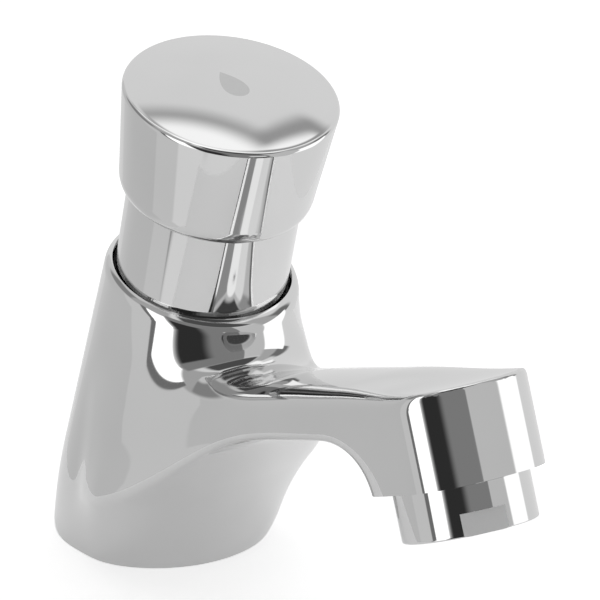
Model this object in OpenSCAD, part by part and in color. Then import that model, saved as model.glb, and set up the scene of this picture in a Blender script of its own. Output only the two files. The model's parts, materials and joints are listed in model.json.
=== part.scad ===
// Push timed tap for a wash basin: chromed brass body with a leaning push button and a rising spout.
// Origin: centre of the foot on the deck. +Z up, the spout points to -Y. Millimetres.

/* [Body] */
// Radius of the short upright lip at the back of the foot
foot_radius = 22; // [18:0.1:26]
// Growth of the round foot with height, at its front
foot_spread = 0.6; // [0.5:0.05:1]
// Radius of the leaning stem at the deck
stem_radius = 22.8; // [18:0.1:26]
// Outside radius of the stem at its rim
rim_radius = 19.3; // [18.6:0.1:24]
// Height of the rim along the leaning head axis
rim_height = 65; // [60:0.5:75]
// Lean of the head axis towards the spout, degrees
head_tilt = 16; // [10:0.5:18]
// Softness of the join between stem and spout, above
join_above = 19.5; // [8:0.5:24]
// Softness of the join between stem and spout, below
join_below = 34; // [16:0.5:40]

/* [Spout] */
// Distance forward where the spout starts, inside the stem
spout_root = 15; // [8:0.5:16]
// Rise of the spout above the horizontal, degrees
spout_rise = 19; // [12:0.5:24]
// Height of the spout's top over its own base line
spout_top = 29.4; // [27:0.1:34]
// Height of the spout's underside over its own base line
spout_under = 20.8; // [18:0.1:22]
// Half width of the spout's waist
waist_half = 13.4; // [12:0.1:16]
// Half width of the nose
nose_half = 14.4; // [14:0.1:17]
// Radius of the nose's rounded front, round the outlet axis
nose_radius = 15.2; // [15:0.1:19]
// Squareness of the nose's front, from 2 for a half circle upwards
nose_square = 2.4; // [2:0.1:3]
// Radius of the boss at the back of the nose
boss_radius = 16.8; // [15.5:0.1:19]
// Rounding of the arch where it meets the nose
arch_round = 12; // [6:0.5:16]
// Distance of the outlet from the foot's centre
outlet_reach = 108; // [100:0.5:125]
// Height of the nose's lower face over the deck, at the outlet axis
outlet_height = 49; // [44:0.5:60]
// Lean of the water jet away from the user's side of the stem, degrees
outlet_tilt = 22; // [15:0.5:28]
// Radius of the water way in the spout
way_radius = 3.1; // [2:0.1:3.4]

/* [Button] */
// Outside radius of the button's skirt
skirt_radius = 17.3; // [17.1:0.05:17.6]
// Wall of the skirt
skirt_wall = 1.7; // [1.2:0.1:1.9]
// Gap round the skirt at the lip of the rim
rim_gap = 0.35; // [0.3:0.05:0.6]
// Height of the lip of the rim
rim_lip = 2; // [1:0.1:2.4]
// Height of the cap's lower corner above the rim
cap_low = 17.75; // [14:0.25:22]
// Length of the rounded lower edge of the cap
cap_edge = 3.8; // [2:0.1:5]
// Radius of the cap above its lower edge
cap_low_radius = 19.5; // [18.5:0.1:23]
// Radius of the cap below its top edge
cap_top_radius = 21.4; // [19:0.1:25]
// Height of the cap's top edge above the rim
cap_top = 41; // [38:0.5:50]
// Rounding of the cap's top edge
cap_round = 0.9; // [0.5:0.1:4]
// Rise of the dome on the cap's top
cap_dome = 1.9; // [0.2:0.1:2]
// Thickness of the cap's top wall
cap_wall = 3.5; // [3:0.1:6]
// Travel of the button when it is pressed
travel = 6; // [3:0.5:6]

/* [Cartridge] */
// Radius of the spindle
spindle_radius = 4; // [3:0.1:4.2]
// Radius of the spindle's lower shank
shank_radius = 2.5; // [2:0.1:2.6]
// Radius of the cartridge head's thread
head_thread = 13; // [12.6:0.1:13.2]
// Width across flats of the cartridge head's hexagon
head_flats = 26; // [24:0.5:26.5]
// Height of the cartridge head's hexagon
head_hex = 6; // [4:0.5:6.5]
// Inside radius of the timing sleeve
sleeve_bore = 8.6; // [8:0.1:9]
// Wall of the timing sleeve
sleeve_wall = 1.8; // [1:0.1:2]
// Height of the timing piston
piston_height = 4; // [3:0.1:4.5]
// Radius of the opening in the valve seat
seat_bore = 5.5; // [4.5:0.1:6]
// Radius of the rubber valve washer
washer_radius = 7.2; // [6.8:0.1:7.4]
// Thickness of the rubber valve washer
washer_height = 2.4; // [1.5:0.1:2.6]
// Radius of the valve plate
plate_radius = 6.2; // [5:0.1:6.3]
// Width across flats of the valve nut
valve_nut_flats = 8; // [6:0.5:8]
// Width across flats of the lock nut under the button hub
lock_nut_flats = 13; // [12:0.5:14]
// Radius of the timing screw
timing_screw_radius = 1.2; // [0.8:0.1:1.3]
// Section radius of the O-rings on the spindle
spindle_ring_section = 1; // [0.8:0.05:1.1]

/* [Spring] */
// Mean radius of the return spring
spring_radius = 9.5; // [8.8:0.1:10]
// Radius of the spring wire
wire_radius = 0.8; // [0.5:0.05:0.9]
// Number of turns
spring_turns = 7; // [5:0.5:9]

/* [Foot and tail] */
// Outside radius of the half inch pipe thread of the tail
tail_radius = 10.4775; // [9.5:0.0025:11.5]
// Bore radius of the tail
tail_bore = 6.75; // [6.5:0.05:7.5]
// Length of the tail below the deck
tail_length = 48; // [44:1:70]
// Depth of the tail's socket in the body
socket_depth = 6.5; // [5:0.1:6.6]
// Thickness of deck between the foot and the fixing washer
deck_space = 12.5; // [5:0.5:13]
// Width across flats of the backnut
backnut_flats = 30; // [28:0.5:36]
// Thickness of the backnut
backnut_height = 7; // [5:0.5:8]
// Outside radius of the fixing washer
fixing_washer_radius = 17; // [14:0.5:22]
// Thickness of the fixing washer
fixing_washer_height = 1.5; // [1:0.1:2]
// Inside radius of the foot gasket
gasket_inner = 13; // [12.5:0.1:15]
// Outside radius of the foot gasket
gasket_outer = 19; // [16:0.1:19.5]
// Thickness of the foot gasket
gasket_height = 2; // [1:0.1:2.5]

/* [Outlet] */
// Outside radius of the outlet housing's collar
collar_radius = 13; // [12.8:0.1:15]
// Height of the outlet housing's collar
collar_height = 9.6; // [7:0.1:12]
// Thread radius of the outlet housing's neck
neck_radius = 12; // [11.5:0.1:12.3]
// Height of the outlet housing's neck
neck_height = 8; // [6:0.1:8.5]
// Bore radius of the outlet housing
housing_bore = 10.5; // [10:0.1:10.8]
// Radius of the open mouth
mouth_radius = 9.8; // [9:0.1:9.9]
// Distance of the spanner flats from the outlet axis
flat_distance = 12.25; // [11.5:0.05:12.5]
// Height of the spanner flats
flat_height = 4.4; // [3:0.1:7]
// Turn of the spanner flats about the outlet axis, degrees
flat_turn = 19; // [0:1:90]
// Radius of one passage in the flow straightener
passage_radius = 0.95; // [0.6:0.05:1]
// Spacing of the passages
passage_pitch = 2.5; // [2.4:0.05:3]

/* [Fits] */
// Radial clearance of still joints
still_gap = 0.05; // [0.03:0.01:0.1]
// Radial clearance of running joints
run_gap = 0.05; // [0.03:0.01:0.1]

/* [Hidden] */
$fn = 96;

// Heights along the head axis
floor_height = rim_height - 23;
hex_top = floor_height + head_hex;
thread_low = floor_height - 11;
chamber_low = floor_height - 21;
seat_low = chamber_low - 2;
sleeve_low = chamber_low + 2;
sleeve_top = floor_height - 3;
head_low = floor_height - 9;
shoulder = floor_height - 5;
piston_low = shoulder - piston_height;
washer_top = seat_low - run_gap;
plate_top = washer_top - washer_height;
plate_low = plate_top - 1.5;
valve_nut_low = plate_low - 3;
skirt_low = floor_height + travel + 1;
hub_low = rim_height + 13;
cap_inside = rim_height + cap_top - cap_wall;
opening_radius = skirt_radius + 0.7;
rim_bore = skirt_radius + rim_gap;
skirt_inner = skirt_radius - skirt_wall;
sleeve_radius = sleeve_bore + sleeve_wall;
cup_height = 1.2;
spring_low = hex_top;
spring_top = hub_low - cup_height;
socket_radius = neck_radius + still_gap;
chamber_radius = 12.2;
seat_thread = 9.5;
inlet_radius = 8.2;
seal_height = 1.5;
groove_low = 24;
gland_groove = spindle_radius + run_gap + 2 * spindle_ring_section + 0.05;
gland_rings = [floor_height - 1.1, floor_height + 1.7];
bush_radius = 6.2;
bush_height = 3;
timing_screw_place = 11.6;
spindle_top = hub_low + 20;
lip_height = 1.2;
straightener_height = 9;
way_height = (spout_top + spout_under) / 2;
pitch = (spring_top - spring_low - 2 * wire_radius) / spring_turns;
echo(spring_gap_to_itself_mm = pitch - 2 * wire_radius);

function mix(a, b, t) = a + (b - a) * t;
function unit(v) = min(1, max(0, v));
function ease(a, b, v) = let (t = unit((v - a) / (b - a))) t * t * (3 - 2 * t);
function soft_min(a, b, k) = let (h = unit(0.5 + 0.5 * (b - a) / k)) mix(b, a, h) - k * h * (1 - h);
function soft_max(a, b, k) = -soft_min(-a, -b, k);

// Leaning stem on a round foot, f is the distance forward
function stem_side(x, f, z, s, q) =
  let (
    cone = norm([x, q]) - mix(stem_radius, rim_radius, s / rim_height),
    lip = norm([x, min(f, 0)]) - foot_radius,
    foot = norm([x, f]) - foot_radius - 0.3 - foot_spread * z
  )
  max(soft_max(soft_max(cone, lip, 3), foot, 2), s - rim_height - 7);

// Distance on the nose's squarish round front
function square_norm(a, b) = pow(pow(abs(a), nose_square) + pow(abs(b), nose_square), 1 / nose_square);

// Half width of the nose's front at an angle forward
function front_half(turn) = pow(1 - pow(sin(turn), nose_square), 1 / nose_square);

// Rising spout with its arch below and its nose: p runs along the spout, h across it
function spout_side(x, f, p, h, up, ahead) =
  let (
    crown = 0.0012 * pow(max(p - 112, 0), 2) - 0.0006 * pow(min(p - 85, 0), 2),
    top = h - spout_top - crown,
    side = abs(x) - mix(waist_half, nose_half, ease(60, 105, p)),
    low = soft_min(spout_under - h, norm([x, min(ahead, 0)]) - boss_radius, arch_round),
    front = square_norm(x, max(ahead, 0)) - nose_radius,
    edges = soft_max(top, side, mix(6, 1, ease(84, 116, p))),
    slab = soft_max(soft_max(edges, low, 2), front, 0.8)
  )
  soft_max(max(slab, -up), spout_root - f, 4);

// Signed side of the whole casting: below zero inside
function casting_side(x, f, z) =
  let (
    s = f * sin(head_tilt) + z * cos(head_tilt),
    q = f * cos(head_tilt) - z * sin(head_tilt),
    p = f * cos(spout_rise) + z * sin(spout_rise),
    h = z * cos(spout_rise) - f * sin(spout_rise),
    up = (z - outlet_height) * cos(outlet_tilt) - (f - outlet_reach) * sin(outlet_tilt),
    ahead = (f - outlet_reach) * cos(outlet_tilt) + (z - outlet_height) * sin(outlet_tilt),
    below = ease(28, 10, h) * ease(-8, 20, q),
    soft = mix(join_above, join_below, below)
  )
  soft_min(stem_side(x, f, z, s, q), spout_side(x, f, p, h, up, ahead), soft);

// Sections: they fan out from the foot to the root of the spout, then run on to the nose.
// Each is bent at its middle: its upper half leans forward where it passes the collar.
pivot = 64;
fan_steps = 28;
run_steps = 11;
nose_steps = 5;
nose_turn = 72 / nose_steps;
ray_steps = 10;
rays = 4 * ray_steps;
first_ahead = (pivot - outlet_reach) * cos(outlet_tilt) - outlet_height * sin(outlet_tilt);

function across(v) = v[1] * cos(spout_rise) - v[0] * sin(spout_rise);
function plane_turn(i) = (90 - outlet_tilt) * min(1, i / fan_steps);
function plane_dir(i) = [-cos(plane_turn(i)), sin(plane_turn(i))];
function plane_ahead(k) =
  k <= run_steps ? mix(first_ahead, -2, k / run_steps) : nose_radius * sin(nose_turn * (k - run_steps));
function plane_foot(i) =
  i <= fan_steps ? [pivot, 0]
    : [outlet_reach, outlet_height] + plane_ahead(i - fan_steps) * [cos(outlet_tilt), sin(outlet_tilt)];
function way_step(i) = (way_height - across(plane_foot(i))) / across(plane_dir(i));
function upper_lean(i) =
  i <= fan_steps ? mix(-90, 40, min(1, i / fan_steps / 0.6))
    : mix(40, -outlet_tilt, ease(0, 4, i - fan_steps));
function upper_dir(i) = [sin(upper_lean(i)), cos(upper_lean(i))];
function middle_step(i) = i <= fan_steps ? mix(pivot, way_step(fan_steps), i / fan_steps) : way_step(i);
function plane_middle(i) = plane_foot(i) + plane_dir(i) * middle_step(i);

// Point at a distance along one ray of section i
function ray_point(c, i, ray, m) =
  let (v = c + (ray[1] > 0 ? upper_dir(i) : plane_dir(i)) * ray[1] * m)
  [ray[0] * m, v[0], v[1]];

// Distance from a section's middle to the surface along one ray
function ray_length(c, i, ray, low = 0, high = 60, n = 18) =
  let (m = (low + high) / 2, v = ray_point(c, i, ray, m))
  n == 0 ? m
    : casting_side(v[0], v[1], v[2]) > 0 ? ray_length(c, i, ray, low, m, n - 1)
      : ray_length(c, i, ray, m, high, n - 1);

function frame_point(k) =
  let (side = floor(k / ray_steps), u = 2 * (k % ray_steps) / ray_steps - 1)
  [[1, u], [-u, 1], [-1, -u], [u, -1]][side];

function section(i) =
  let (
    c = plane_middle(i),
    up = ray_length(c, i, [0, 1]),
    down = ray_length(c, i, [0, -1]),
    wide = ray_length(c, i, [1, 0])
  )
  [for (k = [0 : rays - 1])
    let (
      f = frame_point(k),
      v = [f[0] * wide, f[1] * (f[1] > 0 ? up : down)],
      ray = v / norm(v),
      w = ray_point(c, i, ray, ray_length(c, i, ray))
    )
    [w[0], -w[1], w[2]]];

last = fan_steps + run_steps + nose_steps;
last_turn = nose_turn * nose_steps;
front_turn = 84;
front_step = nose_radius * (sin(front_turn) - sin(last_turn));
front_shift = front_step * [0, -cos(outlet_tilt), sin(outlet_tilt)];

module casting() {
  rings = [for (i = [0 : last]) section(i)];
  narrow = front_half(front_turn) / front_half(last_turn);
  front = [for (v = rings[last]) [v[0] * narrow, v[1], v[2]] + front_shift];
  front_middle = (front[0] + front[ray_steps] + front[2 * ray_steps] + front[3 * ray_steps]) / 4;
  points = [for (r = concat(rings, [front])) for (v = r) v];
  count = len(points);
  walls = [for (i = [0 : last]) for (j = [0 : rays - 1])
    let (a = i * rays + j, b = i * rays + (j + 1) % rays)
    for (t = [[a, a + rays, b + rays], [a, b + rays, b]]) t];
  foot = [for (j = [0 : rays - 1]) [j, (j + 1) % rays, count]];
  face = [for (j = [0 : rays - 1]) [count - rays + (j + 1) % rays, count - rays + j, count + 1]];
  polyhedron(points = concat(points, [[0, 0, 0], front_middle]), faces = concat(walls, foot, face),
    convexity = 6);
}

module on_head(s = 0) {
  rotate([head_tilt, 0, 0]) translate([0, 0, s]) children();
}

module on_outlet(s = 0) {
  translate([0, -outlet_reach, outlet_height]) rotate([-outlet_tilt, 0, 0]) translate([0, 0, s]) children();
}

module ring(outer, inner, height) {
  difference() {
    cylinder(r = outer, h = height);
    translate([0, 0, -1]) cylinder(r = inner, h = height + 2);
  }
}

module hexagon(flats, height) {
  cylinder(r = flats / 2 / cos(30), h = height, $fn = 6);
}

module o_ring(middle, section_radius) {
  rotate_extrude() translate([middle, 0]) circle(r = section_radius, $fn = 24);
}

// Straight drilling in the middle plane between two points forward and up
module drilling(a, b, radius) {
  d = b - a;
  translate([0, -a[0], a[1]]) rotate([atan2(d[0], d[1]), 0, 0]) cylinder(r = radius, h = norm(d));
}

// Close pattern of round passages
module passages(limit, radius, spacing, height) {
  n = ceil(limit / spacing) + 1;
  for (i = [-n : n]) {
    for (j = [-n : n]) {
      x = spacing * (i + j / 2);
      y = spacing * j * sin(60);
      if (norm([x, y]) < limit - radius - 0.3) {
        translate([x, y, -1]) cylinder(r = radius, h = height + 2, $fn = 16);
      }
    }
  }
}

// Middle of the water way in the spout, at a distance forward
function way_at(f) = [f, (way_height + f * sin(spout_rise)) / cos(spout_rise)];

way_start = [10, 17];
way_meet = way_at(56);
way_past = way_meet + 1.5 * (way_meet - way_start) / norm(way_meet - way_start);

module body_casting() {
  color("#d9dcdf") difference() {
    casting();
    on_head(rim_height) cylinder(r = 24, h = 20);
    on_head(floor_height) cylinder(r = opening_radius, h = rim_height - rim_lip - floor_height);
    on_head(floor_height) cylinder(r = rim_bore, h = 40);
    on_head(floor_height - 2) cylinder(r = head_thread + 1.9, h = 3);
    on_head(thread_low) cylinder(r = head_thread + still_gap, h = 13);
    on_head(chamber_low) cylinder(r = chamber_radius, h = 12);
    on_head(chamber_low - 1.3) cylinder(r = 11.1, h = 2);
    on_head(seat_low) cylinder(r = seat_thread + still_gap, h = 4);
    on_head(3) cylinder(r = inlet_radius, h = seat_low);
    translate([0, 0, -1]) cylinder(r = tail_radius + still_gap, h = socket_depth + 1);
    translate([0, 0, -1]) ring(gasket_outer + still_gap, gasket_inner - still_gap, gasket_height + 1);
    drilling(way_start, way_past, way_radius - 0.4);
    drilling(way_at(53), way_at(outlet_reach - 3), way_radius);
    on_outlet(-1) cylinder(r = socket_radius, h = neck_height + 3.5);
  }
}

module base_gasket() {
  color("#2a2a2c") ring(gasket_outer, gasket_inner, gasket_height);
}

module inlet_tail() {
  color("#c9a85a") difference() {
    translate([0, 0, -tail_length]) cylinder(r = tail_radius, h = tail_length + socket_depth - seal_height);
    translate([0, 0, -tail_length - 1]) cylinder(r = tail_bore, h = tail_length + 20);
    translate([0, 0, -groove_low - 2]) ring(tail_radius + 2, tail_radius - 0.9, 2);
  }
}

module tail_seal() {
  color("#7a2f2a") translate([0, 0, socket_depth - seal_height])
    ring(tail_radius - 0.1, tail_bore + 0.2, seal_height);
}

module inlet_strainer() {
  color("#e8e4d8") translate([0, 0, -tail_length + 1]) difference() {
    cylinder(r = tail_bore - still_gap, h = 6);
    translate([0, 0, -1]) cylinder(r = tail_bore - 1.05, h = 5.8);
    passages(tail_bore - 1, 0.6, 1.9, 6);
  }
}

module fixing_washer() {
  color("#b9bbbd") translate([0, 0, -deck_space - fixing_washer_height])
    ring(fixing_washer_radius, tail_radius + 0.3, fixing_washer_height);
}

module backnut() {
  color("#c9a85a") translate([0, 0, -deck_space - fixing_washer_height - backnut_height]) difference() {
    hexagon(backnut_flats, backnut_height);
    translate([0, 0, -1]) cylinder(r = tail_radius + still_gap, h = backnut_height + 2);
  }
}

module valve_seat() {
  color("#c9a85a") on_head() difference() {
    union() {
      translate([0, 0, seat_low]) cylinder(r = seat_thread, h = 3);
      translate([0, 0, chamber_low]) cylinder(r = chamber_radius - 0.6, h = sleeve_low - chamber_low);
    }
    translate([0, 0, seat_low - 1]) cylinder(r = seat_bore, h = 8);
  }
}

module seat_o_ring() {
  color("#1d1d1f") on_head(chamber_low - 0.65) o_ring(seat_thread + 0.8, 0.63);
}

module timing_sleeve() {
  color("#f2f0ea") on_head() difference() {
    translate([0, 0, sleeve_low]) ring(sleeve_radius, sleeve_bore, sleeve_top - sleeve_low);
    for (turn = [45 : 90 : 315]) {
      rotate([0, 0, turn]) translate([0, 0, sleeve_low + 2]) rotate([0, 90, 0]) cylinder(r = 1.4, h = 20);
    }
  }
}

module cartridge_head() {
  color("#c9a85a") on_head() difference() {
    union() {
      translate([0, 0, floor_height]) hexagon(head_flats, head_hex);
      translate([0, 0, head_low]) cylinder(r = head_thread, h = floor_height - head_low + 1);
    }
    translate([0, 0, head_low - 1]) cylinder(r = sleeve_radius + still_gap, h = sleeve_top - head_low + 1);
    translate([0, 0, head_low - 1]) cylinder(r = spindle_radius + 0.35, h = 40);
    for (s = gland_rings) {
      translate([0, 0, s - spindle_ring_section - 0.1])
        cylinder(r = gland_groove, h = 2 * spindle_ring_section + 0.2);
    }
    translate([0, 0, hex_top - bush_height]) cylinder(r = bush_radius + still_gap, h = 10);
    translate([timing_screw_place, 0, hex_top - 5]) cylinder(r = timing_screw_radius + still_gap, h = 10);
  }
}

module head_o_ring() {
  color("#1d1d1f") on_head(floor_height - 1) o_ring(head_thread + 0.95, 0.92);
}

module gland_bush() {
  color("#f2f0ea") on_head(hex_top - bush_height) ring(bush_radius, spindle_radius + run_gap, bush_height);
}

module spindle_o_rings() {
  color("#1d1d1f") for (s = gland_rings) {
    on_head(s) o_ring(spindle_radius + run_gap + spindle_ring_section, spindle_ring_section);
  }
}

module timing_screw() {
  color("#b9bbbd") on_head(hex_top - 5) translate([timing_screw_place, 0, 0]) difference() {
    cylinder(r = timing_screw_radius, h = 4.6);
    translate([-2, -0.2, 3.8]) cube([4, 0.4, 2]);
  }
}

module guide_band() {
  color("#1d1d1f") on_head(rim_height - 13) ring(opening_radius - still_gap, skirt_radius + run_gap, 10.5);
}

// Wound wire: one tube, its rings follow the helix
module return_spring() {
  steps = 12 * spring_turns;
  sides = 8;
  points = [for (i = [0 : steps]) for (j = [0 : sides - 1])
    let (
      turn = 360 * spring_turns * i / steps,
      side = 360 * j / sides,
      r = spring_radius + wire_radius * cos(side)
    )
    [r * cos(turn), r * sin(turn), spring_low + wire_radius * (1 + sin(side)) + pitch * turn / 360]];
  walls = [for (i = [0 : steps - 1]) for (j = [0 : sides - 1])
    let (a = i * sides + j, b = i * sides + (j + 1) % sides)
    for (t = [[a, b, b + sides], [a, b + sides, a + sides]]) t];
  first = [for (j = [0 : sides - 1]) sides - 1 - j];
  end = [for (j = [0 : sides - 1]) steps * sides + j];
  color("#9a9da1") on_head() polyhedron(points = points, faces = concat(walls, [first, end]), convexity = 8);
}

module spindle() {
  color("#b9bbbd") on_head() union() {
    translate([0, 0, shoulder]) cylinder(r = spindle_radius, h = spindle_top - shoulder);
    translate([0, 0, valve_nut_low - 0.6]) cylinder(r = shank_radius, h = shoulder - valve_nut_low + 1);
  }
}

module timing_piston() {
  color("#f2f0ea") on_head(piston_low) difference() {
    cylinder(r = sleeve_bore - 0.4, h = piston_height);
    translate([0, 0, -1]) cylinder(r = shank_radius + still_gap, h = piston_height + 2);
    translate([0, 0, 1]) ring(sleeve_bore + 1, sleeve_bore - 1.8, piston_height - 2);
  }
}

module piston_seal() {
  low = sleeve_bore - 1.75;
  high = sleeve_bore - run_gap;
  depth = piston_height - 2.1;
  inner_lip = [[low, 0], [low + 0.5, 0], [low + 0.8, depth / 2]];
  outer_lip = [[high - 0.5, 0], [high, 0], [high - 0.2, depth], [low, depth]];
  color("#1d1d1f") on_head(piston_low + 1.05) rotate_extrude() polygon(concat(inner_lip, outer_lip));
}

module valve_spacer() {
  color("#c9a85a") on_head(washer_top)
    ring(shank_radius + 1.1, shank_radius + still_gap, piston_low - washer_top);
}

module valve_washer() {
  color("#1d1d1f") on_head(plate_top) ring(washer_radius, shank_radius + still_gap, washer_height);
}

module valve_plate() {
  color("#b9bbbd") on_head(plate_low) ring(plate_radius, shank_radius + still_gap, plate_top - plate_low);
}

module valve_nut() {
  color("#b9bbbd") on_head(valve_nut_low) difference() {
    hexagon(valve_nut_flats, plate_low - valve_nut_low);
    translate([0, 0, -1]) cylinder(r = shank_radius + still_gap, h = 10);
  }
}

module spring_cup() {
  color("#b9bbbd") on_head(spring_top) ring(spring_radius + 1.8, spring_radius - 1.5, cup_height);
}

module lock_nut() {
  color("#b9bbbd") on_head(hub_low - 5) difference() {
    hexagon(lock_nut_flats, 5);
    translate([0, 0, -1]) cylinder(r = spindle_radius + still_gap, h = 10);
  }
}

module button_hub() {
  height = cap_inside - hub_low;
  color("#5b5e63") on_head(hub_low) difference() {
    cylinder(r = skirt_inner - still_gap, h = height);
    translate([0, 0, -1]) cylinder(r = spindle_radius + still_gap, h = spindle_top - hub_low + 1.5);
    for (turn = [0 : 60 : 300]) {
      rotate([0, 0, turn]) translate([10.8, 0, 4]) cylinder(r = 3, h = height);
    }
  }
}

module push_button() {
  low = rim_height + cap_low;
  top = rim_height + cap_top;
  round_middle = cap_top_radius - cap_round;
  lower_edge = [for (t = [0 : 15 : 90])
    [mix(skirt_radius, cap_low_radius, sin(t)), low + cap_edge * (1 - cos(t))]];
  upper_edge = [for (t = [0 : 13 : 78])
    [round_middle + cap_round * cos(t), top - cap_round * (1 - sin(t))]];
  dome = [for (t = [5 : -1 : 0]) [round_middle * t / 5, top + cap_dome * (1 - t * t / 25)]];
  skirt = [[skirt_inner, skirt_low], [skirt_radius - 0.5, skirt_low], [skirt_radius, skirt_low + 0.5]];
  outline = concat(skirt, lower_edge, upper_edge, dome, [[0, cap_inside], [skirt_inner, cap_inside]]);
  color("#d9dcdf") on_head() rotate_extrude() polygon(outline);
}

module outlet_housing() {
  color("#d9dcdf") on_outlet() difference() {
    union() {
      translate([0, 0, -collar_height]) cylinder(r = collar_radius, h = collar_height);
      cylinder(r = neck_radius, h = neck_height);
    }
    translate([0, 0, lip_height - collar_height])
      cylinder(r = housing_bore, h = collar_height + neck_height + 1);
    translate([0, 0, -collar_height - 1]) cylinder(r = mouth_radius, h = 5);
    for (turn = [0, 180]) {
      rotate([0, 0, turn - flat_turn])
        translate([-collar_radius, -collar_radius - flat_distance, -collar_height - 1])
        cube([2 * collar_radius, collar_radius, flat_height + 1]);
    }
  }
}

module outlet_washer() {
  color("#1d1d1f") on_outlet(neck_height) ring(neck_radius - 0.1, neck_radius - 3, 2.4);
}

module outlet_screen() {
  color("#b9bbbd") on_outlet(lip_height - collar_height + straightener_height) difference() {
    cylinder(r = housing_bore - still_gap, h = 0.6);
    passages(housing_bore - 0.8, 0.7, 2, 0.6);
  }
}

module flow_straightener() {
  color("#e8e4d8") on_outlet(lip_height - collar_height) difference() {
    cylinder(r = housing_bore - still_gap, h = straightener_height);
    passages(housing_bore - 0.8, passage_radius, passage_pitch, straightener_height);
  }
}

body_casting();
base_gasket();
inlet_tail();
tail_seal();
inlet_strainer();
fixing_washer();
backnut();
valve_seat();
seat_o_ring();
timing_sleeve();
cartridge_head();
head_o_ring();
gland_bush();
spindle_o_rings();
timing_screw();
guide_band();
return_spring();
spindle();
timing_piston();
piston_seal();
valve_spacer();
valve_washer();
valve_plate();
valve_nut();
spring_cup();
lock_nut();
button_hub();
push_button();
outlet_housing();
outlet_washer();
outlet_screen();
flow_straightener();
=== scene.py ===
import json
import math

import bmesh
import bpy
import numpy as np
from mathutils import Matrix, Vector


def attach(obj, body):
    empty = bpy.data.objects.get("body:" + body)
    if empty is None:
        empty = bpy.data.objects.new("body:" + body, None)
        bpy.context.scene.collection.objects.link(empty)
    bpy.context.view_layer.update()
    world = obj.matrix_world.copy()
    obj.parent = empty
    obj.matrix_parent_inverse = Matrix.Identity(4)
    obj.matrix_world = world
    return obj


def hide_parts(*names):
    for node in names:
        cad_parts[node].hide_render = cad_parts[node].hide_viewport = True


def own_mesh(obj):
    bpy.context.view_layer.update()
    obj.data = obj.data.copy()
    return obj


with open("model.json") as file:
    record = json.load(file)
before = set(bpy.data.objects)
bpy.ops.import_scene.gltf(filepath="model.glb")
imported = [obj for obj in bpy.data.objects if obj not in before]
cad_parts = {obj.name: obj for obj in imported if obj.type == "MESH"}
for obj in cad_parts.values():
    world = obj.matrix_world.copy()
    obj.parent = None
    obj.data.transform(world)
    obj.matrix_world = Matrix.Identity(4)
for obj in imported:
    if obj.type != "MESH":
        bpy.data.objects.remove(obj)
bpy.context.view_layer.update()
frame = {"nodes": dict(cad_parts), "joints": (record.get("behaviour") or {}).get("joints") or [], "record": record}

# A push timed tap for a wash basin. Lengths are in millimetres until a mesh is made, then in metres.
# "Forward" is the spout's direction, -Y. The head is the leaning part that carries the button.

MM = 0.001

# Sizes of the casting. The main ones are the part's own; camber, rim and soft edges are finer here.
HEAD_TILT = math.atan2(frame["joints"][0]["axis"][1], -frame["joints"][0]["axis"][2])
FOOT_RADIUS, FOOT_SPREAD, STEM_RADIUS, RIM_RADIUS, RIM_HEIGHT = 22.0, 0.6, 22.8, 19.3, 65.0
FOOT_LIP, FOOT_ROUND, LIP_ROUND = 0.3, 2.0, 3.0
JOIN_ABOVE, JOIN_BELOW, JOIN_BEHIND = 19.0, 34.0, 0.2
SPOUT_ROOT, ROOT_ROUND = 15.0, 4.0
SPOUT_RISE, SPOUT_TOP, SPOUT_UNDER, UNDER_ROUND = math.radians(19), 29.4, 20.8, 2.0
CAMBER, ROOT_FALL, NOSE_LIFT = 2.0, 0.0006, 0.0012
EDGE_AT_ROOT, EDGE_AT_NOSE = 6.0, 3.0
WAIST_HALF, NOSE_HALF, NOSE_RADIUS, NOSE_SQUARE, NOSE_ROUND = 13.4, 14.4, 15.2, 2.4, 0.8
BOSS_RADIUS, ARCH_ROUND = 16.8, 12.0
OUTLET_REACH, OUTLET_HEIGHT, OUTLET_TILT = 108.0, 49.0, math.radians(22)

# The head's opening, from its floor to the rim, and the bores below the floor: radius, low and high end
FLOOR_HEIGHT = RIM_HEIGHT - 23
OPENING_RADIUS, RIM_BORE, RIM_LIP, RIM_ROUND = 18.0, 17.65, 2.0, 2.4
HEAD_BORES = ((14.9, -2, 1), (13.05, -11, 2), (12.2, -21, -9), (11.1, -22.3, -20), (9.55, -23, -20.5))
INLET_BORE, TAIL_BORE, OUTLET_BORE = 8.2, 10.5275, 12.05
RISER_RADIUS, WAY_RADIUS = 2.7, 3.1
GASKET_INNER, GASKET_OUTER, GASKET_DEPTH = 12.95, 19.05, 2.0

# The button
SKIRT_RADIUS, SKIRT_WALL = 17.3, 1.7
CAP_LOW_RADIUS, CAP_RADIUS, CAP_CURVE, CAP_ROUND, CAP_DOME = 19.5, 21.4, 3.8, 0.9, 1.9

# The spring's ends on the head axis
SPRING_LOW, SPRING_HIGH = FLOOR_HEIGHT + 6, RIM_HEIGHT + 11.8

# The etched drop: round end and tip from the axis, half width, and one over the peak of its curve
DROP_FRONT, DROP_TIP, DROP_HALF, DROP_PEAK = -4.0, 5.0, 2.6, 2.598

# The plinth that mirrors see: middle and half size, towards the camera and across, and its turn
PLINTH_AHEAD, PLINTH_LENGTH, PLINTH_ASIDE, PLINTH_WIDTH = -16.0, 135.0, 34.0, 84.0
PLINTH_TURN = math.radians(-33)

HEAD = Matrix.Rotation(HEAD_TILT, 4, "X")
OUTLET = (Matrix.Translation((0, -OUTLET_REACH * MM, OUTLET_HEIGHT * MM))
          @ Matrix.Rotation(-OUTLET_TILT, 4, "X"))


def mix(a, b, t):
    return a + (b - a) * t


def ease(a, b, v):
    t = np.clip((v - a) / (b - a), 0, 1)
    return t * t * (3 - 2 * t)


def soft_min(a, b, k):
    h = np.clip(0.5 + 0.5 * (b - a) / k, 0, 1)
    return mix(b, a, h) - k * h * (1 - h)


def soft_max(a, b, k):
    return -soft_min(-a, -b, k)


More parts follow.
